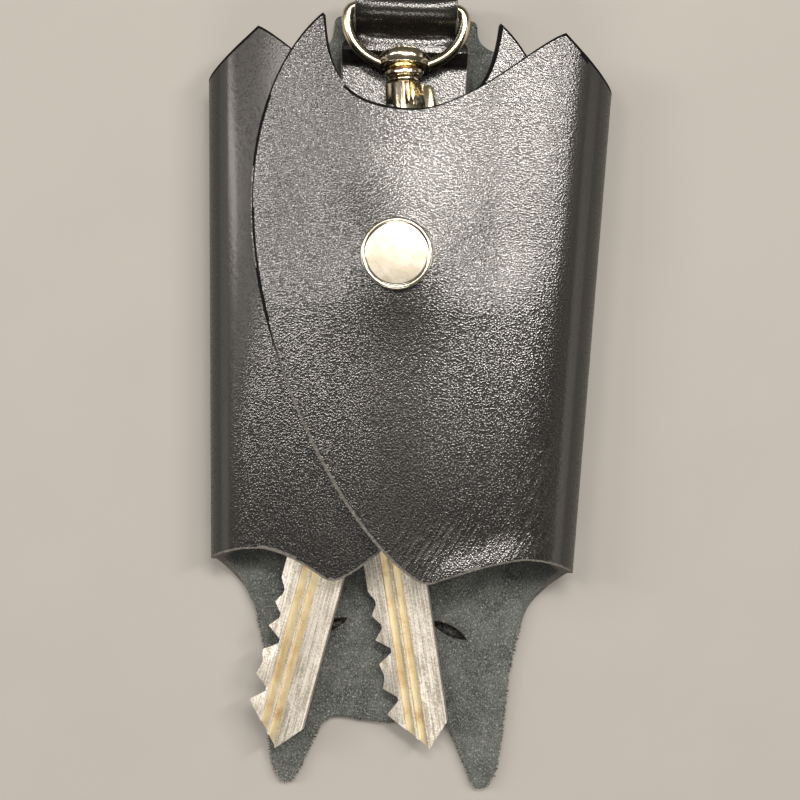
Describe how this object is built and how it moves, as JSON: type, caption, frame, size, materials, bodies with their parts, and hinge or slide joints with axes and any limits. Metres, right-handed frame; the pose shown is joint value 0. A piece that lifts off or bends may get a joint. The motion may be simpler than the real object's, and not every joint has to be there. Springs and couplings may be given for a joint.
{
  "type": "leather key cover",
  "caption": "Black leather key cover cut as a hanging bat: the wings fold over the keys and snap shut, and a strap at the top carries a trigger snap with a split ring and keys.",
  "frame": {"origin": "middle of the overall box in X and Y, at the underside of the back panel", "axes": "+X towards the right fold as seen in the picture, +Y from the head to the hanger strap, +Z from the back panel to the press stud's cap"},
  "size_m": [0.059, 0.1168, 0.0197],
  "materials": {
    "leather": "black pebbled grain outside, dark grey nap inside, raw cut edges",
    "nickel": "polished nickel plate",
    "steel": "plated spring steel",
    "key": "worn nickel plate, brass showing in the milled grooves"
  },
  "bodies": {
    "back": {"back_panel": "leather", "hanger_strap": "leather", "left_rivet_foot": "nickel", "left_rivet_cap": "nickel", "right_rivet_foot": "nickel", "right_rivet_cap": "nickel", "clasp_eye": "nickel"},
    "right_side": {"right_side": "leather"},
    "right_wing": {"right_wing": "leather", "snap_cap": "nickel", "snap_socket": "nickel", "snap_spring": "steel"},
    "left_side": {"left_side": "leather"},
    "left_wing": {"left_wing": "leather", "snap_stud": "nickel", "snap_eyelet": "nickel"},
    "clasp": {"clasp_hook": "nickel", "trigger_pin": "nickel", "trigger_spring": "steel"},
    "trigger": {"clasp_trigger": "nickel"},
    "ring": {"key_ring": "steel"},
    "left_key": {"left_key": "key"},
    "right_key": {"right_key": "key"}
  },
  "joints": [
    {"name": "right_side_fold", "type": "hinge", "parent": "back", "child": "right_side", "pos_m": [0.02546, -0.00098, 0.00199], "axis": [0.041, 0.9992, 0], "range_deg": [0, 82]},
    {"name": "right_wing_fold", "type": "hinge", "parent": "right_side", "child": "right_wing", "pos_m": [0.02546, -0.00098, 0.01161], "axis": [0.041, 0.9992, 0], "range_deg": [0, 82]},
    {"name": "left_side_fold", "type": "hinge", "parent": "back", "child": "left_side", "pos_m": [-0.02584, -0.00098, 0.00161], "axis": [0.0416, -0.9991, 0], "range_deg": [0, 20.5]},
    {"name": "left_wing_fold", "type": "hinge", "parent": "left_side", "child": "left_wing", "pos_m": [-0.02584, -0.00098, 0.00939], "axis": [0.0416, -0.9991, 0], "range_deg": [0, 20.5]},
    {"name": "clasp_swivel", "type": "hinge", "parent": "back", "child": "clasp", "pos_m": [-0.0009, 0.04732, 0.0078], "axis": [0.0785, -0.9969, 0], "range_deg": [-8, 5]},
    {"name": "trigger_press", "type": "hinge", "parent": "clasp", "child": "trigger", "pos_m": [-0.00207, 0.04097, 0.00729], "axis": [-0.2915, -0.0229, 0.9563], "range_deg": [0, 13], "stiffness_Nm_per_rad": 0.03, "springref_deg": -8.59},
    {"name": "ring_turn", "type": "hinge", "parent": "back", "child": "ring", "pos_m": [-0.00102, 0.00309, 0.00664], "axis": [0.4217, -0.4056, 0.8109], "continuous": true},
    {"name": "left_key_swing", "type": "hinge", "parent": "back", "child": "left_key", "pos_m": [-0.00591, -0.0031, 0.007], "axis": [-0.1189, 0.0268, 0.9925], "range_deg": [-20, 30]},
    {"name": "right_key_swing", "type": "hinge", "parent": "back", "child": "right_key", "pos_m": [-0.00394, -0.003, 0.0048], "axis": [-0.1196, -0.0232, 0.9925], "range_deg": [-12, 30]}
  ],
  "couplings": [
    {"joint": "right_wing_fold", "follows": "right_side_fold", "ratio": 1},
    {"joint": "left_side_fold", "follows": "right_side_fold", "ratio": 0.25},
    {"joint": "left_wing_fold", "follows": "right_side_fold", "ratio": 0.25}
  ]
}
